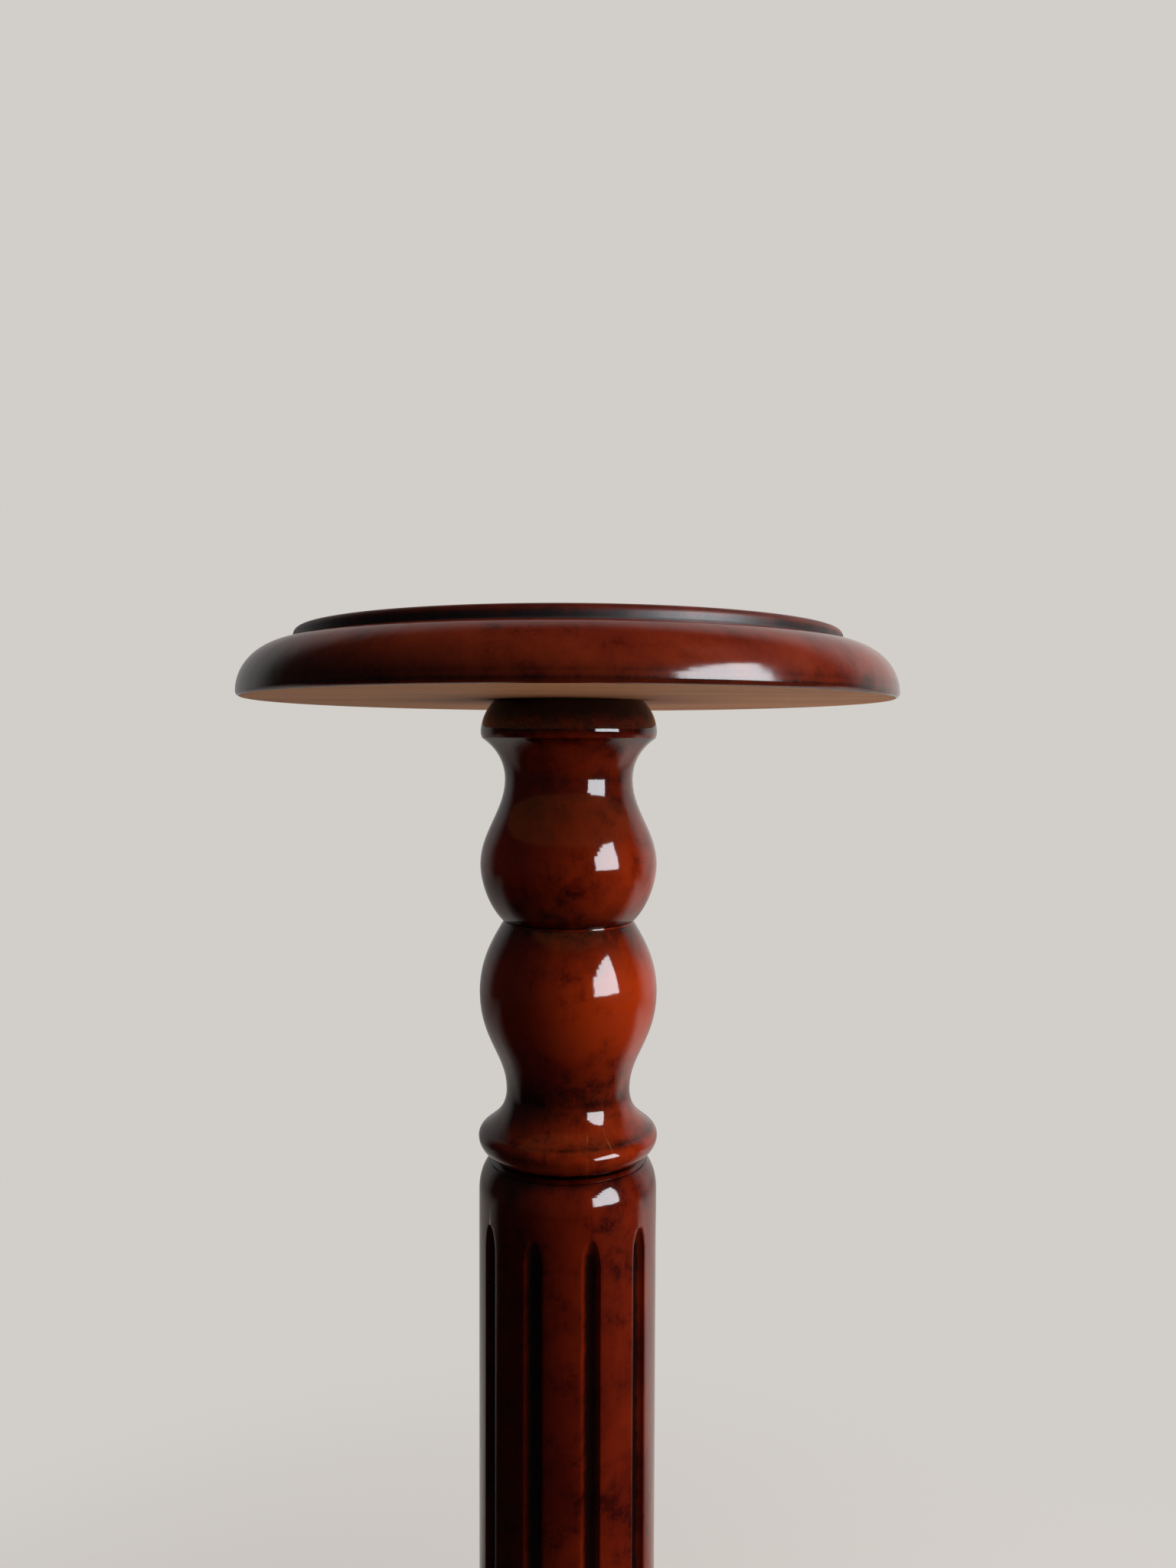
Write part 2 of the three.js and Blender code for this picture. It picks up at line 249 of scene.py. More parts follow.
def finishMaterial(graph, values):
    shader = graph.node("ShaderNodeBsdfPrincipled", {}, values)
    graph.node("ShaderNodeOutputMaterial", {}, {"Surface": shader})


def objectPlace(graph):
    return graph.node("ShaderNodeTexCoord").output("Object")


def bump(graph, height, distance, strength=1.0):
    values = {"Height": height, "Distance": distance, "Strength": strength}
    return graph.node("ShaderNodeBump", {}, values)


def makeLacquer(name, changes, glueLines=False):
    m = {**mahogany, **changes}
    material, graph = newMaterial(name)
    place = objectPlace(graph)
    moved = place.shift(*m["move"])
    cloud = graph.noise(moved, m["cloudSize"], 2, 0.5)
    drift = graph.noise(moved.shift(0.31, 0.17, 0.05), 2.2 * m["cloudSize"], 1, 0.4)
    mottle = graph.noise(moved, m["mottleSize"], 3, 0.6, 0.3)
    speck = graph.noise(moved.shift(0.2, 0.4, 0.1), m["speckSize"], 2, 0.6)
    grain = graph.noise(moved.stretch(1, 1, m["grainStretch"]), m["grainSize"], 3, 0.6)
    recess = graph.node("ShaderNodeAttribute", {"attribute_name": "recess"}).output("Fac")
    dull = graph.node("ShaderNodeAttribute", {"attribute_name": "dull"}).output("Fac")
    thin = graph.blend(drift.ease(0.35, 0.65), m["clear"], m["red"])
    soft = (cloud * 0.55 + mottle * 0.35 + speck * 0.1).ease(0.36, 0.68)
    patches = (cloud * 0.45 + mottle * 0.4 + speck * 0.15).ease(0.52, 0.68)
    streaks = grain.ease(0.4, 0.8) * 0.14
    paintedLight = recess.least(0)  # painted light: where the outline's shading is below 0, on the ball and the vase
    darkening = (m["toned"] + soft * 0.52 + patches * 0.4 + streaks + paintedLight).most(0).least(1)
    # painted shade in the hollows and under the boards, from the outline's shading, broken up by the
    # mottles
    broken = 0.8 + (mottle * 0.75 + speck * 0.25).ease(0.38, 0.62) * 0.3
    darkShare = (m["darkShare"] + recess * broken).most(0).least(0.96)
    base = graph.blend(darkShare, graph.blend(darkening, thin, m["brown"]), m["dark"])
    if glueLines:
        base = graph.blend(glueLineShare(graph, place), base, colour(164, 84, 36))
    peel = graph.noise(moved, m["peelSize"], 1, 0.5)
    waves = graph.noise(moved, m["waveSize"], 1, 0.4) + peel * 0.06 + grain * 0.05
    finishMaterial(graph, {
        "Base Color": base,
        "Roughness": m["roughness"] + mottle * 0.04 + dull,
        "Normal": bump(graph, waves, 0.00012),
        "IOR": 1.6,
    })
    return material


glueLine = {
    "width": 0.0006,
    "firstX": 0.0086,
    "secondTurn": math.radians(29),
    "bottom": 0.672,  # the height over which the lines show
    "top": 0.694,
}


def glueLineShare(graph, place):  # pale joints between the strips of the turned blank
    g = glueLine
    x, y, z = place.split()
    front = y < 0
    shown = z.ease(g["bottom"], g["bottom"] + 0.002) * (1 - z.ease(g["top"] - 0.006, g["top"]))
    first = 1 - (x - g["firstX"]).math("ABSOLUTE").ease(0, g["width"])
    across = x * math.cos(g["secondTurn"]) + y * math.sin(g["secondTurn"])
    second = 1 - across.math("ABSOLUTE").ease(0, g["width"])
    broken = graph.noise(place.stretch(1, 1, 0.4), 0.005, 2).ease(0.3, 0.6)
    return first.most(second * 0.7) * front * shown * broken * 0.5


def makeBareWood():
    material, graph = newMaterial("bareWood")
    place = objectPlace(graph)
    x, y, z = place.split()
    stave = (y / 0.047 + 0.37).math("FLOOR")
    tone = graph.node("ShaderNodeTexWhiteNoise", {"noise_dimensions": "1D"}, {"W": stave})
    along = place.stretch(0.05, 1, 1)
    grain = graph.noise(along, 0.0016, 4, 0.65)
    figure = graph.noise(along, 0.011, 3, 0.6, 0.6)
    pale = graph.blend(tone, colour(246, 178, 124), colour(236, 162, 108))
    base = graph.blend(figure.ease(0.35, 0.7) * 0.5, pale, colour(200, 136, 92))
    base = graph.blend(grain.ease(0.48, 0.75) * 0.6, base, colour(156, 98, 64))
    columnShade = 1 - (x * x + y * y).math("SQRT").ease(0.03, 0.1)  # painted shade and red light reflected from the column, darker and redder towards it
    base = graph.blend(columnShade * (0.35 + figure * 0.4), base, colour(132, 56, 28))
    finishMaterial(graph, {
        "Base Color": base,
        "Roughness": 0.55 + grain * 0.2,
        "Normal": bump(graph, grain, 0.0002),
    })
    return material


def makeBeech():
    material, graph = newMaterial("beechWood")
    place = objectPlace(graph)
    flecks = graph.noise(place.stretch(1, 1, 0.15), 0.0012, 3, 0.6)
    rings = graph.noise(place.stretch(1, 1, 0.05), 0.006, 2, 0.5, 0.5)
    base = graph.blend(rings, colour(214, 182, 146), colour(192, 154, 116))
    base = graph.blend(flecks.ease(0.58, 0.72) * 0.6, base, colour(150, 108, 74))
    values = {"Base Color": base, "Roughness": 0.6 + flecks * 0.15}
    finishMaterial(graph, {**values, "Normal": bump(graph, flecks, 0.0001)})
    return material


def makeMetal(name, light, dull, roughness):
    material, graph = newMaterial(name)
    place = objectPlace(graph)
    stains = graph.noise(place, 0.008, 3, 0.6)
    scratches = graph.noise(place.stretch(1, 1, 0.2), 0.0006, 2)
    finishMaterial(graph, {
        "Base Color": graph.blend(stains.ease(0.4, 0.7), light, dull),
        "Metallic": 1.0,
        "Roughness": roughness + stains * 0.15 + scratches * 0.05,
        "Normal": bump(graph, scratches, 0.00003),
    })
    return material


def makeFelt():
    material, graph = newMaterial("feltPad")
    place = objectPlace(graph)
    fibres = graph.noise(place.stretch(1, 1, 2), 0.0007, 5, 0.8, 1.2)
    lumps = graph.noise(place, 0.004, 2)
    base = graph.blend(fibres, colour(52, 32, 24), colour(104, 74, 58))
    base = graph.blend(lumps.ease(0.4, 0.8) * 0.4, base, colour(70, 46, 36))
    finishMaterial(graph, {
        "Base Color": base,
        "Roughness": 0.9,
        "Sheen Weight": 0.3,
        "Normal": bump(graph, fibres, 0.0004),
    })
    return material


lacquers = {
    "top": makeLacquer("topLacquer", topFinish),
    "capital": makeLacquer("capitalLacquer", capitalFinish, glueLines=True),
    "shaft": makeLacquer("shaftLacquer", shaftFinish),
    "base": makeLacquer("baseLacquer", baseFinish),
}
bareWood = makeBareWood()
beech = makeBeech()
brass = makeMetal("brightBrass", colour(222, 188, 112), colour(196, 156, 84), 0.22)
zinc = makeMetal("zincSteel", colour(198, 200, 204), colour(164, 167, 172), 0.28)
felt = makeFelt()
print("stage: materials made")

# ---- outlines: rings of (radius, height, shading, dull). The shading is painted shade in hollows and under
# the boards, and painted light where it is below 0. The lacquer is less polished where dull is high, up to
# 1, which is bare wood.


class Outline:
    leaving = 1.6  # how fast painted shade fades away from a hollow, and gathers towards one
    arriving = 2.5

    def __init__(self, radius, height, recess=0.0, dull=0.0):
        self.rings = [(radius, height, recess, dull)]

    def to(self, radius, height, recess=0.0, dull=0.0, steps=1):
        fromRadius, fromHeight = self.rings[-1][:2]
        for step in range(1, steps + 1):
            share = step / steps
            ring = fromRadius + share * (radius - fromRadius), fromHeight + share * (height - fromHeight)
            self.rings.append((*ring, recess, dull))
        return self

    def shadeAlong(self, share, recess):  # painted shade in a hollow fades along the curve that leads to it
        return self.before * (1 - share) ** self.leaving + recess * share**self.arriving

    def arc(self, centre, radius, start, end, steps, rise=None, recess=0.0, dull=0.0):  # degrees
        self.before = self.rings[-1][2]
        for step in range(1, steps + 1):
            angle = math.radians(start + (end - start) * step / steps)
            ring = centre[0] + radius * math.cos(angle), centre[1] + (rise or radius) * math.sin(angle)
            self.rings.append((*ring, self.shadeAlong(step / steps, recess), dull))
        return self

    def ease(self, radius, height, leave, arrive, recess=0.0, steps=14):
        self.before = self.rings[-1][2]
        start = Vector(self.rings[-1][:2])
        end = Vector((radius, height))
        step = end - start
        first = start + Vector((leave[0] * step.x, leave[1] * step.y))
        second = end - Vector((arrive[0] * step.x, arrive[1] * step.y))
        for count in range(1, steps + 1):
            t = count / steps
            weights = (1 - t) ** 3, 3 * t * (1 - t) ** 2, 3 * t**2 * (1 - t), t**3
            point = sum((w * p for w, p in zip(weights, (start, first, second, end))), Vector((0, 0)))
            self.rings.append((*point, self.shadeAlong(t, recess), 0.0))
        return self

    def join(self, rings):
        self.rings += rings
        return self

    def rounded(self, size, sharp=18):  # takes the corners off, with plain rings next to them
        rings = self.rings
        kept = [rings[0]]
        for before, ring, after in zip(rings, rings[1:], rings[2:]):
            back = Vector(before[:2]) - Vector(ring[:2])
            forth = Vector(after[:2]) - Vector(ring[:2])
            corner = Vector(ring[:2])
            turn = math.pi - back.angle(forth) if back.length and forth.length else 0
            if turn < math.radians(sharp):
                kept.append(ring)
                continue
            reach = min(size, 0.3 * back.length, 0.3 * forth.length)
            start = corner + reach * back.normalized()
            end = corner + reach * forth.normalized()
            if back.length > 3 * size:
                kept.append((*(corner + 2 * size * back.normalized()), *before[2:]))
            for step in range(5):
                t = step / 4
                point = (1 - t) ** 2 * start + 2 * t * (1 - t) * corner + t**2 * end
                kept.append((*point, *ring[2:]))
            if forth.length > 3 * size:
                kept.append((*(corner + 2 * size * forth.normalized()), *after[2:]))
        kept.append(rings[-1])
        self.rings = kept
        return self

    def mesh(self, name):
        mesh = bpy.data.meshes.new(name)
        points = [(ring[0], 0, ring[1]) for ring in self.rings]
        mesh.from_pydata(points, [(i, i + 1) for i in range(len(points) - 1)], [])
        for position, attribute in ((2, "recess"), (3, "dull")):
            made = mesh.attributes.new(attribute, "FLOAT", "POINT")
            made.data.foreach_set("value", [ring[position] for ring in self.rings])
        return mesh


# ---- geometry trees

turnedDefaults = {
    "Facets": 192,
    "Sides": 6,  # flat sides on a bolt's head
    "Across Flats": 0.0,  # none where this is 0
    "Copies": 1,
    "Ring Radius": 0.0,  # of the circle on which copies stand
    "Ring Turn": 0.0,
    "Smooth Angle": math.radians(40),
}


def sampleOutline(graph, outline, row, attribute=None):
    if attribute is None:
        source = graph.node("GeometryNodeInputPosition")
        kind = "FLOAT_VECTOR"
    else:
        source = graph.node("GeometryNodeInputNamedAttribute", {"data_type": "FLOAT"}, {"Name": attribute})
        kind = "FLOAT"
    values = {"Geometry": outline, "Value": source, "Index": row}
    return graph.node("GeometryNodeSampleIndex", {"data_type": kind}, values)


def outlineGrid(graph, outline, columns):  # a sheet with a row for each ring of the outline
    rows = graph.node("GeometryNodeAttributeDomainSize", {}, {"Geometry": outline})
    sizes = {"Size X": 1.0, "Size Y": 1.0, "Vertices X": columns + 1, "Vertices Y": rows}
    sheet = graph.node("GeometryNodeMeshGrid", {}, sizes)
    across, along, _ = graph.node("GeometryNodeInputPosition").split()
    row = ((along + 0.5) * (rows - 1)).math("ROUND")
    return sheet, across + 0.5, row


def keepAttribute(graph, geometry, name, value):
    values = {"Geometry": geometry, "Name": name, "Value": value}
    return graph.node("GeometryNodeStoreNamedAttribute", {"data_type": "FLOAT"}, values)


def closeShape(graph, sheet, smoothAngle):  # merges the seam and the poles, and smooths it
    closed = graph.node("GeometryNodeMergeByDistance", {}, {"Geometry": sheet, "Distance": 0.000005})
    soft = graph.node("GeometryNodeSetShadeSmooth", {}, {0: closed, "Shade Smooth": True})
    angle = graph.node("GeometryNodeInputMeshEdgeAngle")
    values = {0: soft, "Shade Smooth": angle < smoothAngle}
    return graph.node("GeometryNodeSetShadeSmooth", {"domain": "EDGE"}, values)


def paint(graph, geometry, finish, bareFinish):
    dull = graph.node("GeometryNodeInputNamedAttribute", {"data_type": "FLOAT"}, {"Name": "dull"})
    values = {"Geometry": geometry, "Material": finish}
    painted = graph.node("GeometryNodeSetMaterial", {}, values)
    values = {"Geometry": painted, "Selection": dull > 0.6, "Material": bareFinish}
    return graph.node("GeometryNodeSetMaterial", {}, values)


def startTree(name, sizes):  # a tree with its outline, sizes and finishes as named inputs
    tree = bpy.data.node_groups.new(name, "GeometryNodeTree")
    graph = Graph(tree)
    names = {"Outline": graph.input("Outline", "NodeSocketGeometry")}
    for size, value in sizes.items():
        kind = "NodeSocketInt" if isinstance(value, int) else "NodeSocketFloat"
        names[size] = graph.input(size, kind, value)
    for finish in ("Finish", "Bare Finish"):
        names[finish] = graph.input(finish, "NodeSocketMaterial")
    tree.interface.new_socket(name="Shape", in_out="OUTPUT", socket_type="NodeSocketGeometry")
    entry = graph.node("NodeGroupInput")
    return tree, graph, names, {name: entry.output(name) for name in names}


def makeTurnedTree():
    tree, graph, names, size = startTree("turnedShape", turnedDefaults)
    sheet, turn, row = outlineGrid(graph, size["Outline"], size["Facets"])
    ringRadius, _, height = sampleOutline(graph, size["Outline"], row).split()
    angle = turn * math.tau
    side = math.tau / size["Sides"]
    offSide = angle.math("MODULO", side) - side / 2
    flat = size["Across Flats"] / 2 / offSide.math("COSINE")
    isFlat = size["Across Flats"] > 0
    radius = ringRadius.least(flat + (1 - isFlat))
    values = {"X": radius * angle.math("COSINE"), "Y": radius * angle.math("SINE"), "Z": height}
    place = graph.node("ShaderNodeCombineXYZ", {}, values)
    for name in ("recess", "dull"):
        sheet = keepAttribute(graph, sheet, name, sampleOutline(graph, size["Outline"], row, name))
    sheet = graph.node("GeometryNodeSetPosition", {}, {"Geometry": sheet, "Position": place})
    shape = closeShape(graph, sheet, size["Smooth Angle"])
    line = graph.node("GeometryNodeMeshLine", {}, {"Count": size["Copies"], "Offset": (0, 0, 0)})
    index = graph.node("GeometryNodeInputIndex")
    turned = size["Ring Turn"] + (index + 0.5) * math.tau / size["Copies"]
    values = {"X": turned.math("COSINE"), "Y": turned.math("SINE"), "Z": 0.0}
    spot = graph.node("ShaderNodeCombineXYZ", {}, values)
    scaled = graph.node(
        "ShaderNodeVectorMath", {"operation": "SCALE"}, {0: spot, "Scale": size["Ring Radius"]}
    )
    spots = graph.node("GeometryNodeSetPosition", {}, {"Geometry": line, "Position": scaled})
    copies = graph.node("GeometryNodeInstanceOnPoints", {}, {"Points": spots, "Instance": shape})
    real = graph.node("GeometryNodeRealizeInstances", {}, {"Geometry": copies})
    graph.node("NodeGroupOutput", {}, {"Shape": paint(graph, real, size["Finish"], size["Bare Finish"])})
    return tree, names


fluteDefaults = {
    "Flute Count": 10,
    "Flute Steps": 9,  # columns from the middle of a flute to its edge
    "Land Steps": 6,
    "Flute Turn": math.radians(14.5),
    "Shaft Radius": 0.042,
    "Flute Depth": 0.0032,
    "Cutter Radius": 0.0044,
    "Middle": 0.47,
    "Straight End": 0.16,  # from the middle to where a flute starts to taper
    "End Length": 0.0146,  # of the cutter's elliptical end
    "Arris": 0.00035,
    "Smooth Angle": math.radians(60),
}


def makeFlutedTree():
    tree, graph, names, size = startTree("flutedShaft", fluteDefaults)
    wallSteps = size["Flute Steps"]
    halfSteps = wallSteps + 2 + size["Land Steps"]
    sheet, turn, row = outlineGrid(graph, size["Outline"], size["Flute Count"] * halfSteps * 2)
    ringRadius, _, height = sampleOutline(graph, size["Outline"], row).split()
    halfSector = math.pi / size["Flute Count"]
    sector = (turn * size["Flute Count"] + 0.0001).math("FLOOR")
    across = (turn * size["Flute Count"] - sector) * 2 - 1
    side = across.math("SIGN")
    station = (across.math("ABSOLUTE") * halfSteps).math("ROUND")
    # the cutter's section at this height, and the angle at which it meets the shaft's surface
    beyond = ((height - size["Middle"]).math("ABSOLUTE") - size["Straight End"]).most(0)
    taper = (1 - (beyond / size["End Length"]) ** 2).most(0).math("SQRT")
    cutter = size["Cutter Radius"] * taper
    axis = size["Shaft Radius"] - size["Flute Depth"] + size["Cutter Radius"]
    reach = (axis * axis + cutter * cutter - ringRadius * ringRadius) / (2 * axis * cutter.most(1e-6))
    isCut = reach < 0.9999
    edge = reach.least(1).most(-1).math("ARCCOSINE")
    arrisTurn = (size["Arris"] / cutter.most(1e-6)).least(edge * 0.5)
    isWall = station < wallSteps + 0.5
    isEdge = (station < wallSteps + 1.5) - isWall
    wall = station / wallSteps * (edge - arrisTurn)
    spread = isWall * wall + (1 - isWall) * edge
    out = cutter * spread.math("SINE")
    inward = axis - cutter * spread.math("COSINE")
    # above the flutes the same columns run on, close together where a flute's middle would be
    gathered = (station / (wallSteps + 1)).least(1) * 0.0004 / ringRadius.most(0.001)
    cutAngle = isCut * out.math("ARCTAN2", inward) + (1 - isCut) * gathered
    cutRadius = (out * out + inward * inward).math("SQRT") - isEdge * size["Arris"] * 0.3
    landStart = cutAngle + size["Arris"] / size["Shaft Radius"]
    landShare = (station - wallSteps - 2) / size["Land Steps"]
    landAngle = landStart + landShare * (halfSector - landStart)
    isLand = 1 - isWall - isEdge
    offset = isLand * landAngle + (1 - isLand) * cutAngle
    isHollow = isCut * (1 - isLand)
    radius = isHollow * cutRadius + (1 - isHollow) * ringRadius
    angle = (sector * 2 + 1) * halfSector + side * offset + size["Flute Turn"] - halfSector - math.pi / 2
    values = {"X": radius * angle.math("COSINE"), "Y": radius * angle.math("SINE"), "Z": height}
    place = graph.node("ShaderNodeCombineXYZ", {}, values)
    hollow = isCut * (ringRadius - radius) / size["Flute Depth"]
    # painted shade in the bottom of each flute, added to the outline's
    recess = sampleOutline(graph, size["Outline"], row, "recess") + hollow**3 * 0.95
    sheet = keepAttribute(graph, sheet, "recess", recess)
    sheet = keepAttribute(graph, sheet, "dull", sampleOutline(graph, size["Outline"], row, "dull"))
    sheet = graph.node("GeometryNodeSetPosition", {}, {"Geometry": sheet, "Position": place})
    shape = closeShape(graph, sheet, size["Smooth Angle"])
    real = graph.node("GeometryNodeRealizeInstances", {}, {"Geometry": shape})
    graph.node("NodeGroupOutput", {}, {"Shape": paint(graph, real, size["Finish"], size["Bare Finish"])})
    return tree, names


trees = {"turned": makeTurnedTree(), "fluted": makeFlutedTree()}


def addPiece(name, outline, finish, replaced, slot, kind="turned", bare=None, **sizes):
    tree, names = trees[kind]
    holder = bpy.data.objects.new(name + "Outline", outline.mesh(name + "Outline"))
    bpy.context.scene.collection.objects.link(holder)
    modifier = holder.modifiers.new("shape", "NODES")
    modifier.node_group = tree
    wanted = {**sizes, "Finish": finish, "Bare Finish": bare or finish}
    for size, value in wanted.items():
        modifier[names[size]] = value
    bpy.context.view_layer.update()
    evaluated = holder.evaluated_get(bpy.context.evaluated_depsgraph_get())
    mesh = bpy.data.meshes.new_from_object(evaluated)
    mesh.name = name
    piece = bpy.data.objects.new(name, mesh)
    bpy.context.scene.collection.objects.link(piece)
    holder.modifiers.remove(modifier)
    bpy.data.objects.remove(holder)
    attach(piece, "root")
    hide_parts(*replaced)
    return piece


print("stage: geometry trees made")

# ---- boards

board = {
    "ovolo": 0.0245,
    "field": 0.0059,
    "fieldEdge": 0.003,
    "arris": 0.002,
    "boltHole": 0.0053,
    "soft": 0.0004,  # every corner is taken off this much
}


def boardSkin(outline, radius, underside):  # from the rim of the underside up to the field
    b = board
    fieldRadius = radius - b["ovolo"]
    outline.to(radius - 0.004, underside, dull=1.0, steps=6)
    # painted shade along the rim and in the step under the field's edge
    outline.to(radius - b["arris"], underside, recess=0.3, dull=0.3)
    outline.arc((radius - b["arris"], underside + b["arris"]), b["arris"], -90, 0, 6, recess=0.8)
    rise = b["ovolo"] - b["arris"]
    outline.arc((fieldRadius, underside + b["arris"]), b["ovolo"], 0, 7, 3, rise, recess=0.5)
    outline.arc((fieldRadius, underside + b["arris"]), b["ovolo"], 7, 20, 4, rise, recess=0.1)
    outline.arc((fieldRadius, underside + b["arris"]), b["ovolo"], 20, 84, 20, rise, recess=0.1)
    outline.arc((fieldRadius, underside + b["arris"]), b["ovolo"], 84, 90, 3, rise, 1.0, 0.5)
    level = underside + b["ovolo"] + b["field"] - b["fieldEdge"]
    outline.to(fieldRadius, level - 0.0018, recess=1.1, dull=0.28)
    outline.to(fieldRadius, level, recess=0.85, dull=0.28)
    edge = fieldRadius - b["fieldEdge"], level
    outline.arc(edge, b["fieldEdge"], 0, 40, 4, recess=0.6, dull=0.25)
    outline.arc(edge, b["fieldEdge"], 40, 90, 6, recess=0.4, dull=0.2)
    return outline


def addTopBoard():
    low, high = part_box("top_board")
    insertLow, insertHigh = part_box("top_insert")
    bore = (insertHigh.x - insertLow.x) / 2 + 0.0003
    outline = Outline(0, insertHigh.z + 0.0015, dull=1.0)
    outline.to(bore, insertHigh.z + 0.0015, dull=1.0).to(bore, low.z, dull=1.0)
    boardSkin(outline, high.x, low.z).to(0, high.z, steps=7)
    outline.rounded(board["soft"])
    finish = lacquers["top"]
    addPiece("topBoard", outline, finish, ["top_board"], "mahogany", bare=bareWood, Facets=360)


def addBaseBoard():
    low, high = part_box("base_board")
    washerLow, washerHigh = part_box("base_washer")
    boltHole = board["boltHole"]
    counterbore = washerHigh.x + 0.002
    ceiling = washerHigh.z + 0.0003
    outline = Outline(boltHole, ceiling, dull=1.0)
    outline.to(counterbore, ceiling, dull=1.0).to(counterbore, low.z, dull=1.0)
    boardSkin(outline, high.x, low.z).to(boltHole, high.z, steps=7)
    outline.to(boltHole, ceiling, dull=1.0)
    outline.rounded(board["soft"])
    finish = lacquers["base"]
    addPiece("baseBoard", outline, finish, ["base_board"], "mahogany", bare=bareWood, Facets=360)


addTopBoard()
addBaseBoard()
print("stage: boards made")

# ---- turnings

# Each step of the capital, from its seat on the board down: the ring it ends in, how far down
# that is, how the curve leaves and arrives as shares of the step, across and along, and the
# painted shade at the ring, which is painted light where it is below 0.
capital = {
    "seat": 0.0354,
    "steps": [
        ("collar", 0.0414, 0.0142, (0.66, 0.3), (0, 0.28), 0.8),
        ("collar arris", 0.0407, 0.0031, (0, 0.5), (0.5, 0.3), 0.35),
        ("neck top", 0.0402, 0.0004, None, None, 0.9),
        ("neck", 0.03005, 0.0188, (0.35, 0.13), (0, 0.55), 0.55),
        # painted light, a value below 0, on the ball and the vase; the other steps get painted shade
        ("ball", 0.0415, 0.0395, (0, 0.37), (0, 0.38), -0.1),
        ("quirk mouth", 0.0312, 0.0264, (0, 0.31), (0.67, 0.27), 0.9),
        ("quirk", 0.0302, 0.0005, None, None, 1.2),
        ("list", 0.0306, 0.0001, None, None, 0.4),
        ("list edge", 0.0308, 0.0007, None, None, 0.4),
        ("quirk lip", 0.0312, 0.0003, None, None, 0.8),
        ("vase", 0.0418, 0.0322, (0.36, 0.21), (0, 0.48), -0.6),
        ("waist", 0.0291, 0.0466, (0, 0.48), (0, 0.36), 0.8),
        ("bead arris", 0.0392, 0.017, (0, 0.6), (0.38, 0.19), 0.75),
        ("bead", 0.0422, 0.0047, (0.5, 0.2), (0, 0.5), 0.15),
        ("lower arris", 0.0392, 0.0064, (0, 0.45), (0.45, 0.25), 0.7),
        ("groove", 0.0345, 0.0024, None, None, 1.2),
    ],
    "soft": 0.0005,
}


def capitalOutline(seatLevel, way):  # way is -1 down from the top board, or 1 up from the base
    # painted shade, darkest where the turning meets its board
    outline = Outline(0, seatLevel).to(capital["seat"], seatLevel, recess=2.4, steps=3)
    level = seatLevel
    for name, radius, drop, leave, arrive, darkening in capital["steps"]:
        level += way * drop
        if leave is None:
            outline.to(radius, level, recess=darkening)
        else:
            outline.ease(radius, level, leave, arrive, darkening)
    outline.to(0, level, dull=1.0, steps=3)
    return outline.rounded(capital["soft"])


def addTurning(name, node, seatLevel, way):
    outline = capitalOutline(seatLevel, way)
    if way < 0:
        outline.rings.reverse()
    return addPiece(name, outline, lacquers["capital"], [node], "mahogany", bare=beech)


addTurning("upperTurning", "upper_turning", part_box("upper_turning")[1].z, -1)
addTurning("lowerTurning", "lower_turning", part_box("lower_turning")[0].z, 1)
print("stage: turnings made")

# ---- fluted shaft

shaft = {
    "fluteCount": 10,
    "fluteTurn": math.radians(14.5),
    "fluteWidth": 0.0084,
    "fluteDepth": 0.0032,
    "runOut": 0.014,  # over which a flute's end tapers
    "margin": 0.009,
    "setback": 0.0046,
    "grooveInset": 0.0029,
    "grooveRise": 0.0018,
    "list": 0.0006,  # the thin raised ring over the shoulder
    "shoulderDrop": 0.015,
    "soft": 0.0005,
}


def addShaft():
    s = shaft
    low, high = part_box("fluted_shaft")
    radius = high.x
    middle = (low.z + high.z) / 2
    half = (high.z - low.z) / 2
    shoulder = radius - s["setback"]
    groove = shoulder - s["grooveInset"]
    tip = half - s["grooveRise"] - s["shoulderDrop"] - s["margin"]
    upper = Outline(radius, middle)
    upper.to(radius, middle + tip - s["runOut"] - 0.0002, steps=14)
    runOutSteps = 24
    for step in range(runOutSteps + 1):
        share = 1 - (1 - step / runOutSteps) ** 2
        upper.to(radius, middle + tip - s["runOut"] * (1 - share))
    upper.to(radius, middle + half - s["grooveRise"] - s["shoulderDrop"])
    shoulderTop = middle + half - s["grooveRise"] - s["list"]
    # painted shade under the bead, over the shoulder and in the groove
    upper.ease(shoulder, shoulderTop, (0, 0.6), (0.3, 0.14), 0.45)
    upper.to(shoulder - 0.0007, shoulderTop + 0.0002, recess=0.6)
    upper.to(shoulder - 0.001, shoulderTop + s["list"], recess=0.2)
    upper.to(groove, middle + half, recess=1.2)
    upper.to(0, middle + half, dull=1.0, steps=3)
    upper.rounded(s["soft"])
    lower = [(ring[0], 2 * middle - ring[1], *ring[2:]) for ring in reversed(upper.rings[1:])]
    outline = Outline(*lower[0]).join(lower[1:]).join(upper.rings)
    halfWidth = s["fluteWidth"] / 2
    chordDepth = s["fluteDepth"] - (radius - math.sqrt(radius**2 - halfWidth**2))
    cutter = (halfWidth**2 + chordDepth**2) / (2 * chordDepth)
    endLength = s["runOut"] * cutter / math.sqrt(cutter**2 - (cutter - s["fluteDepth"]) ** 2)
    sizes = {
        "Flute Count": s["fluteCount"],
        "Flute Turn": s["fluteTurn"],
        "Shaft Radius": radius,
        "Flute Depth": s["fluteDepth"],
        "Cutter Radius": cutter,
        "Middle": middle,
        "Straight End": tip - s["runOut"],
        "End Length": endLength,
    }
    finish = lacquers["shaft"]
    addPiece("flutedShaft", outline, finish, ["fluted_shaft"], "mahogany", "fluted", beech, **sizes)


addShaft()
print("stage: shaft made")

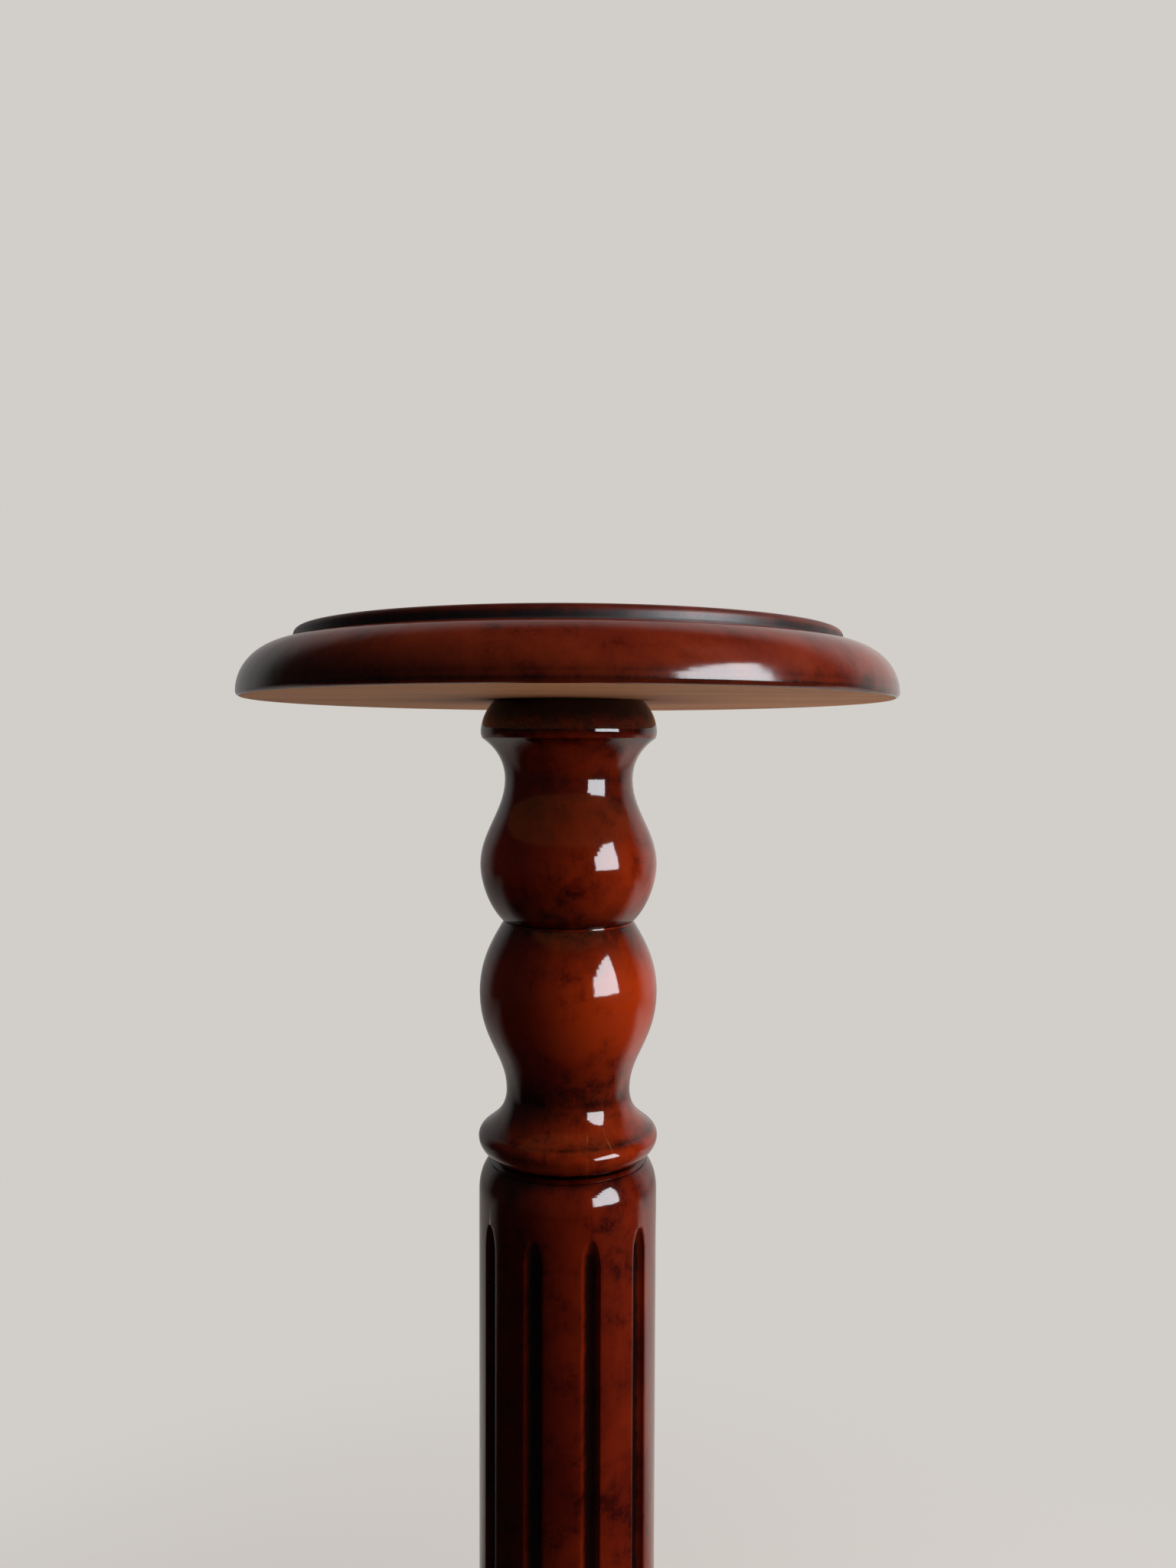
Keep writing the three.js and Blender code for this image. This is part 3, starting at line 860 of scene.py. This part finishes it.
# ---- feet, pads and fixings

foot = {
    "sole": 0.017,
    "ball": 0.026,
    "ring": 0.0195,
    "ringHeight": 0.004,
    "quirk": 0.001,
    "inset": 0.043,  # from the base board's rim
    "soft": 0.0006,
}


def addFeet():
    low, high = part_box("bun_foot_1")
    ringBottom = high.z - foot["ringHeight"]
    middle = (low.z + ringBottom) / 2
    outline = Outline(0, low.z, dull=1.0).to(foot["sole"], low.z, dull=1.0, steps=2)
    outline.ease(foot["ball"], middle, (0.6, 0.05), (0, 0.5))
    outline.ease(foot["ring"] - foot["quirk"], ringBottom, (0, 0.55), (0.75, 0.1))
    # painted shade in the quirk under the foot's ring
    outline.to(foot["ring"], ringBottom, recess=0.6)
    outline.to(foot["ring"], high.z).to(0, high.z, dull=1.0, steps=2)
    outline.rounded(foot["soft"])
    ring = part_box("base_board")[1].x - foot["inset"]
    sizes = {"Facets": 96, "Copies": 4, "Ring Radius": ring, "Ring Turn": math.pi}
    nodes = [f"bun_foot_{number}" for number in range(1, 5)]
    addPiece("bunFeet", outline, lacquers["base"], nodes, "mahogany", bare=bareWood, **sizes)
    padLow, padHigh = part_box("felt_pad_1")
    padRadius = (padHigh.x - padLow.x) / 2
    pad = Outline(0, padLow.z).to(padRadius - 0.0006, padLow.z, steps=3)
    pad.arc((padRadius - 0.0006, padLow.z + 0.0006), 0.0006, -90, 0, 4)
    pad.to(padRadius, padHigh.z - 0.0006).to(padRadius - 0.0003, padHigh.z).to(0, padHigh.z, steps=3)
    sizes["Facets"] = 64
    nodes = [f"felt_pad_{number}" for number in range(1, 5)]
    addPiece("feltPads", pad, felt, nodes, "felt", **sizes)


bolt = {
    "acrossFlats": 0.017,
    "chamfer": 0.0012,
    "shank": 0.005,
    "tip": 0.0042,
    "washerHole": 0.0053,
    "soft": 0.0003,
}


def addBaseBolt():
    low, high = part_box("base_bolt")
    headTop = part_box("base_washer")[0].z - 0.0003
    corner = bolt["acrossFlats"] / math.sqrt(3)
    outline = Outline(0, low.z).to(bolt["acrossFlats"] / 2 - 0.0006, low.z, steps=2)
    outline.to(corner, low.z + bolt["chamfer"], steps=8)
    outline.to(corner, headTop).to(bolt["shank"], headTop)
    outline.to(bolt["shank"], high.z - 0.0008).to(bolt["tip"], high.z).to(0, high.z)
    sizes = {"Facets": 96, "Across Flats": bolt["acrossFlats"], "Smooth Angle": math.radians(20)}
    addPiece("baseBolt", outline, zinc, ["base_bolt"], "zinc_steel", **sizes)
    low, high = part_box("base_washer")
    hole = bolt["washerHole"]
    ring = Outline(hole, low.z).to(high.x, low.z, steps=2).to(high.x, high.z).to(hole, high.z)
    ring.to(hole, low.z)
    ring.rounded(bolt["soft"])
    addPiece("baseWasher", ring, zinc, ["base_washer"], "zinc_steel", Facets=96)


addFeet()
addBaseBolt()

slotFinishes = {"beech": beech, "brass": brass, "zinc_steel": zinc}
slotOf = {part["node"]: part["material_slot"] for part in frame["record"]["subparts"]}
for name, node in frame["nodes"].items():
    if not node.hide_render:
        node.data.materials.clear()
        node.data.materials.append(slotFinishes[slotOf[name]])
print("stage: feet and fixings made")

# ---- floor, backdrop and light

studio = {
    "backdrop": colour(210, 206, 201),
    "floor": (0.88, 0.84, 0.8, 1),
    "glow": 0.4,  # share of the backdrop's own tone in the floor, which keeps it pale
    "frontBounce": (0.08, 0.075, 0.07, 1),  # what the floor sends up on the dim side
    "frontShine": (0.02, 0.019, 0.018, 1),  # the same floor as the lacquer mirrors it
    "backBounce": (0.85, 0.81, 0.77, 1),
    "highWall": (0.22, 0.215, 0.21, 1),
    "highRight": (0.45, 0.44, 0.43, 1),
    "floorRadius": 9.0,
    "fadeStart": 0.4,
    "fadeEnd": 1.1,
    "mirrorStart": 1.0,  # from here to mirrorEnd the lacquer comes to mirror walls and not the floor
    "mirrorEnd": 5.0,
    "floorLevel": 0.45,  # how far up the walls it then mirrors, from 0 to 1
    "leftWall": (0.3, 0.295, 0.29, 1),  # as the lacquer mirrors it
    "room": (0.02, 0.019, 0.018, 1),  # the dim room on the camera's side
}


def lightPath(graph, *names):
    path = graph.node("ShaderNodeLightPath")
    share = path.output(names[0])
    for name in names[1:]:
        share = share.most(path.output(name))
    return share


def surroundings(graph, x, y, z):  # the room's tone in a direction, for the camera and for gloss
    seen = lightPath(graph, "Is Camera Ray")
    wall = graph.blend(x.ease(-0.5, 0.4), studio["leftWall"], studio["backdrop"])
    high = graph.blend(x.ease(0, 0.3), studio["highWall"], studio["highRight"])
    wall = graph.blend(z.ease(0.2, 0.8), wall, high)
    wall = graph.blend(seen, wall, studio["backdrop"])
    behind = (y + x.most(0) * 0.16).ease(0.3, 0.68)
    return graph.blend(behind.most(seen), studio["room"], wall)


def addFloor():
    material, graph = newMaterial("floor")
    x, y, z = objectPlace(graph).split()
    distance = (x * x + y * y).math("SQRT")
    away = distance.ease(studio["fadeStart"], studio["fadeEnd"])
    seen = lightPath(graph, "Is Camera Ray")
    mirrored = lightPath(graph, "Is Glossy Ray")
    lit = y.ease(0.1, 0.7).most(x.ease(0.4, 1.2) * (1 - mirrored))
    front = graph.blend(mirrored, studio["frontBounce"], studio["frontShine"])
    bounce = graph.blend(lit, front, studio["backBounce"])
    paintColour = graph.blend(seen, bounce, studio["floor"])
    matt = graph.node("ShaderNodeBsdfDiffuse", {}, {"Color": paintColour})
    level = graph.math("ADD", studio["floorLevel"], 0.0)
    tone = surroundings(graph, x / distance, y / distance, level)
    far = graph.node("ShaderNodeEmission", {}, {"Color": tone})
    share = seen * (studio["glow"] + (1 - studio["glow"]) * away)
    share = share.most(mirrored * distance.ease(studio["mirrorStart"], studio["mirrorEnd"]))
    mixed = graph.node("ShaderNodeMixShader", {}, {0: share, 1: matt, 2: far})
    clear = graph.node("ShaderNodeBsdfTransparent")  # the floor doesn't hide the stand from below
    under = seen * graph.node("ShaderNodeNewGeometry").output("Backfacing")
    mixed = graph.node("ShaderNodeMixShader", {}, {0: under, 1: mixed, 2: clear})
    graph.node("ShaderNodeOutputMaterial", {}, {"Surface": mixed})
    side = studio["floorRadius"]
    mesh = bpy.data.meshes.new("floor")
    corners = [(-side, -side, 0), (side, -side, 0), (side, side, 0), (-side, side, 0)]
    mesh.from_pydata(corners, [], [(0, 1, 2, 3)])
    mesh.materials.append(material)
    floor = bpy.data.objects.new("floor", mesh)
    bpy.context.scene.collection.objects.link(floor)


windowLight = {  # what the lacquer mirrors of the window, lower towards the camera's axis
    "turn": math.radians(50),  # from the camera's side towards +X
    "distance": 2.5,
    "sill": 0.68,
    "panes": 6,
    "width": 1.46,
    "lowTop": 0.95,
    "highTop": 1.7,
    "power": 33.0,  # of each square metre
    "colour": (0.9, 0.95, 1.0),
    "lowSill": 1.9,  # for the base board, which would else mirror all of it in its flat top
}
softLights = {  # what falls on the stand: turn, distance, height of the middle, size and power
    "skyLight": (math.radians(78), 1.8, 2.4, 1.5, 62.0),
    "sideLight": (math.radians(71), 2.4, 1.0, 1.4, 26.0),
}


def addLamp(name, turn, distance, across, height, width, tall, power, tint, aim):
    outward = Vector((math.sin(turn), -math.cos(turn), 0))
    sideways = Vector((math.cos(turn), math.sin(turn), 0))
    light = bpy.data.lights.new(name, "AREA")
    light.shape = "RECTANGLE"
    light.size = width
    light.size_y = tall
    light.energy = power
    light.color = tint
    lamp = bpy.data.objects.new(name, light)
    place = outward * distance + sideways * across + Vector((0, 0, height))
    facing = place - Vector((0, 0, aim)) if aim else outward
    lamp.location = place
    lamp.rotation_euler = facing.to_track_quat("Z", "Y").to_euler()
    lamp.visible_camera = False
    bpy.context.scene.collection.objects.link(lamp)
    return lamp


def receivers(name, state):  # the base board alone (INCLUDE), or everything else (EXCLUDE)
    if name in bpy.data.collections:
        return bpy.data.collections[name]
    group = bpy.data.collections.new(name)
    group.objects.link(bpy.data.objects["baseBoard"])
    group.collection_objects[0].light_linking.link_state = state
    return group


def addLights():
    w = windowLight
    width = w["width"] / w["panes"]
    for number in range(w["panes"]):
        share = number / (w["panes"] - 1)
        tall = w["highTop"] - (w["highTop"] - w["lowTop"]) * (1 - share) ** 2
        across = (number + 0.5) * width - w["width"] / 2
        place = w["turn"], w["distance"], across, w["sill"] + tall / 2
        size = width, tall, w["power"] * width * tall
        pane = addLamp(f"pane{number + 1}", *place, *size, w["colour"], 0)
        pane.visible_diffuse = False
        pane.light_linking.receiver_collection = receivers("window", "EXCLUDE")
    tall = w["sill"] + w["highTop"] - w["lowSill"]
    place = w["turn"], w["distance"], 0, w["lowSill"] + tall / 2
    size = w["width"], tall, w["power"] * w["width"] * tall
    pane = addLamp("basePane", *place, *size, w["colour"], 0)
    pane.visible_diffuse = False
    pane.light_linking.receiver_collection = receivers("baseWindow", "INCLUDE")
    for name, (turn, distance, height, size, power) in softLights.items():
        lamp = addLamp(name, turn, distance, 0, height, size, size, power, (1.0, 0.97, 0.94), 0.75)
        lamp.visible_glossy = False


def addWorld():
    world = bpy.data.worlds.new("studio")
    world.use_nodes = True
    world.node_tree.nodes.clear()
    graph = Graph(world.node_tree)
    x, y, z = graph.node("ShaderNodeTexCoord").output("Generated").split()
    background = graph.node("ShaderNodeBackground", {}, {"Color": surroundings(graph, x, y, z)})
    graph.node("ShaderNodeOutputWorld", {}, {"Surface": background})
    bpy.context.scene.world = world


addFloor()
addLights()
addWorld()
bpy.context.scene.view_settings.view_transform = "Standard"
print("stage: studio made")
